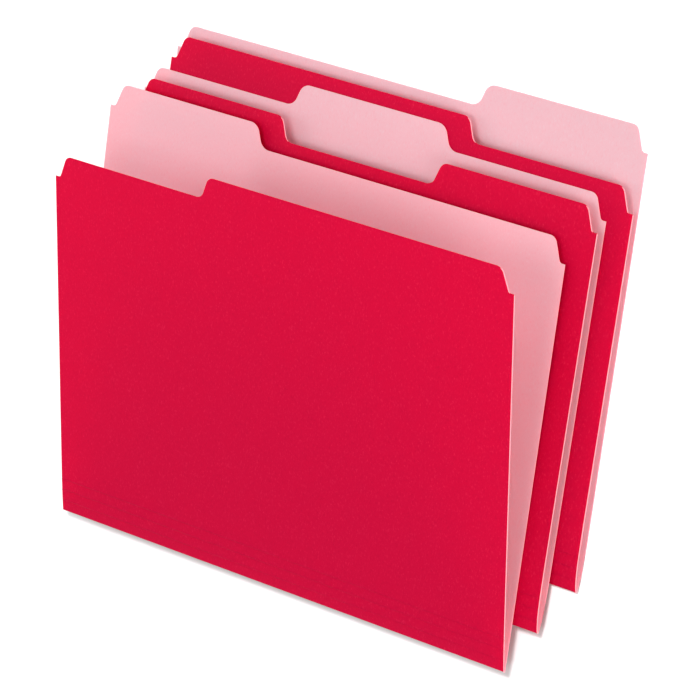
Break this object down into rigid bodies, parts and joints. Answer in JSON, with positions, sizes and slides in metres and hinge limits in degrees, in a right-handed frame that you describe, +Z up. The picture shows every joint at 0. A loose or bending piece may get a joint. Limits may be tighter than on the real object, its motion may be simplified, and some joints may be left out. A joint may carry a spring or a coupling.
{
  "type": "interior file folder",
  "caption": "Paper file folders with staggered cut tabs, lying in a stack; each opens at its fold and flexes at the score lines along it, and lifts off the one below.",
  "frame": {"origin": "middle of the lowest back panel's outer face, on the surface that the stack lies on", "axes": "+X along the folds, to the right seen from the folds' side; +Y from the folds to the tabs; +Z up, square to the lowest back panel"},
  "size_m": [0.3238, 0.291, 0.06],
  "materials": {
    "card": "uncoated red card, pale pink on the inside"
  },
  "bodies": {
    "lower_back": {"lower_back_panel": "card"},
    "lower_strip_1": {"lower_score_strip_1": "card"},
    "lower_strip_2": {"lower_score_strip_2": "card"},
    "lower_strip_3": {"lower_score_strip_3": "card"},
    "lower_front": {"lower_front_panel": "card"},
    "middle_back": {"middle_back_panel": "card"},
    "middle_strip_1": {"middle_score_strip_1": "card"},
    "middle_strip_2": {"middle_score_strip_2": "card"},
    "middle_strip_3": {"middle_score_strip_3": "card"},
    "middle_front": {"middle_front_panel": "card"},
    "upper_back": {"upper_back_panel": "card"},
    "upper_strip_1": {"upper_score_strip_1": "card"},
    "upper_strip_2": {"upper_score_strip_2": "card"},
    "upper_strip_3": {"upper_score_strip_3": "card"},
    "upper_front": {"upper_front_panel": "card"}
  },
  "joints": [
    {"name": "lower_fold", "type": "hinge", "parent": "lower_back", "child": "lower_strip_1", "pos_m": [0, -0.12065, 0.00328], "axis": [1, 0, 0], "range_deg": [-0.9, 90]},
    {"name": "lower_score_1", "type": "hinge", "parent": "lower_strip_1", "child": "lower_strip_2", "pos_m": [0, -0.11429, 0.00494], "axis": [1, 0, 0], "range_deg": [0, 5]},
    {"name": "lower_score_2", "type": "hinge", "parent": "lower_strip_2", "child": "lower_strip_3", "pos_m": [0, -0.10793, 0.00559], "axis": [1, 0, 0], "range_deg": [0, 5]},
    {"name": "lower_score_3", "type": "hinge", "parent": "lower_strip_3", "child": "lower_front", "pos_m": [0, -0.10158, 0.00585], "axis": [1, 0, 0], "range_deg": [0, 5]},
    {"name": "middle_lift", "type": "slide", "parent": "lower_front", "child": "middle_back", "axis": [0, 0, 1], "range_m": [0, 0.12]},
    {"name": "middle_fold", "type": "hinge", "parent": "middle_back", "child": "middle_strip_1", "pos_m": [-0.0145, -0.14579, 0.01036], "axis": [1, 0, 0], "range_deg": [-1.4, 90]},
    {"name": "middle_score_1", "type": "hinge", "parent": "middle_strip_1", "child": "middle_strip_2", "pos_m": [-0.0145, -0.13942, 0.01202], "axis": [1, 0, 0], "range_deg": [0, 5]},
    {"name": "middle_score_2", "type": "hinge", "parent": "middle_strip_2", "child": "middle_strip_3", "pos_m": [-0.0145, -0.13307, 0.01267], "axis": [1, 0, 0], "range_deg": [0, 5]},
    {"name": "middle_score_3", "type": "hinge", "parent": "middle_strip_3", "child": "middle_front", "pos_m": [-0.0145, -0.12672, 0.01293], "axis": [1, 0, 0], "range_deg": [0, 5]},
    {"name": "upper_lift", "type": "slide", "parent": "middle_front", "child": "upper_back", "axis": [0, 0, 1], "range_m": [0, 0.12]},
    {"name": "upper_fold", "type": "hinge", "parent": "upper_back", "child": "upper_strip_1", "pos_m": [-0.0284, -0.17036, 0.01412], "axis": [1, 0, 0], "range_deg": [-11.3, 168.8]},
    {"name": "upper_score_1", "type": "hinge", "parent": "upper_strip_1", "child": "upper_strip_2", "pos_m": [-0.0284, -0.16422, 0.01581], "axis": [1, 0, 0], "range_deg": [0, 30]},
    {"name": "upper_score_2", "type": "hinge", "parent": "upper_strip_2", "child": "upper_strip_3", "pos_m": [-0.0284, -0.15803, 0.01721], "axis": [1, 0, 0], "range_deg": [0, 30]},
    {"name": "upper_score_3", "type": "hinge", "parent": "upper_strip_3", "child": "upper_front", "pos_m": [-0.0284, -0.15182, 0.01854], "axis": [1, 0, 0], "range_deg": [0, 30]}
  ]
}
